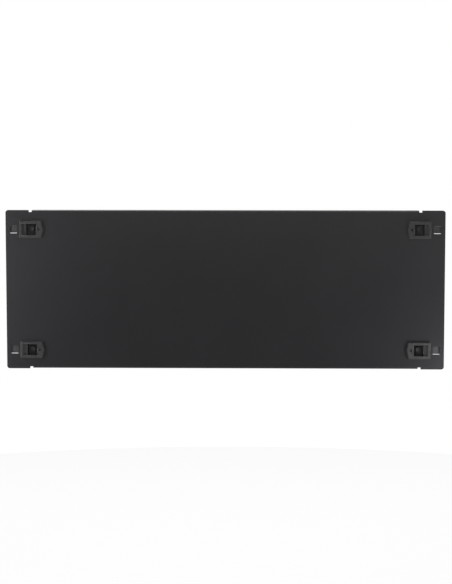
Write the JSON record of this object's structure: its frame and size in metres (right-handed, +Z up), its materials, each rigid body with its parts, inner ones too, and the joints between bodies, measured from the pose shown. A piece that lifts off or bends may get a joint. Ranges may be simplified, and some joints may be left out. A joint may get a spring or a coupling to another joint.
{
  "type": "rack blanking panel",
  "caption": "Flat black steel panel with folded upper and lower edges that covers empty rack space, held by sprung slide latches at its corners.",
  "frame": {"origin": "middle of the plane in which the latch seats meet the front faces of the rack rails", "axes": "+X along the width to the viewer's right, +Y to the rear into the rack, +Z up"},
  "size_m": [0.4826, 0.0158, 0.1756],
  "materials": {
    "panel_coating": "satin",
    "latch_plastic": "matte",
    "screw_steel": "satin",
    "spring_steel": "satin"
  },
  "bodies": {
    "panel_and_guides": {"panel": "panel_coating", "latch_top_left_guide": "latch_plastic", "latch_top_left_spring": "spring_steel", "latch_bottom_left_guide": "latch_plastic", "latch_bottom_left_spring": "spring_steel", "latch_top_right_guide": "latch_plastic", "latch_top_right_spring": "spring_steel", "latch_bottom_right_guide": "latch_plastic", "latch_bottom_right_spring": "spring_steel"},
    "latch_top_left": {"latch_top_left_knob": "latch_plastic", "latch_top_left_slide": "latch_plastic", "latch_top_left_screw": "screw_steel"},
    "latch_bottom_left": {"latch_bottom_left_knob": "latch_plastic", "latch_bottom_left_slide": "latch_plastic", "latch_bottom_left_screw": "screw_steel"},
    "latch_top_right": {"latch_top_right_knob": "latch_plastic", "latch_top_right_slide": "latch_plastic", "latch_top_right_screw": "screw_steel"},
    "latch_bottom_right": {"latch_bottom_right_knob": "latch_plastic", "latch_bottom_right_slide": "latch_plastic", "latch_bottom_right_screw": "screw_steel"}
  },
  "joints": [
    {"name": "latch_top_left_travel", "type": "slide", "parent": "panel_and_guides", "child": "latch_top_left", "axis": [1, 0, 0], "range_m": [0, 0.003], "stiffness_N_per_m": 1360, "springref_m": -0.002, "deforming": ["latch_top_left_spring"]},
    {"name": "latch_bottom_left_travel", "type": "slide", "parent": "panel_and_guides", "child": "latch_bottom_left", "axis": [1, 0, 0], "range_m": [0, 0.003], "stiffness_N_per_m": 1360, "springref_m": -0.002, "deforming": ["latch_bottom_left_spring"]},
    {"name": "latch_top_right_travel", "type": "slide", "parent": "panel_and_guides", "child": "latch_top_right", "axis": [-1, 0, 0], "range_m": [0, 0.003], "stiffness_N_per_m": 1360, "springref_m": -0.002, "deforming": ["latch_top_right_spring"]},
    {"name": "latch_bottom_right_travel", "type": "slide", "parent": "panel_and_guides", "child": "latch_bottom_right", "axis": [-1, 0, 0], "range_m": [0, 0.003], "stiffness_N_per_m": 1360, "springref_m": -0.002, "deforming": ["latch_bottom_right_spring"]}
  ]
}
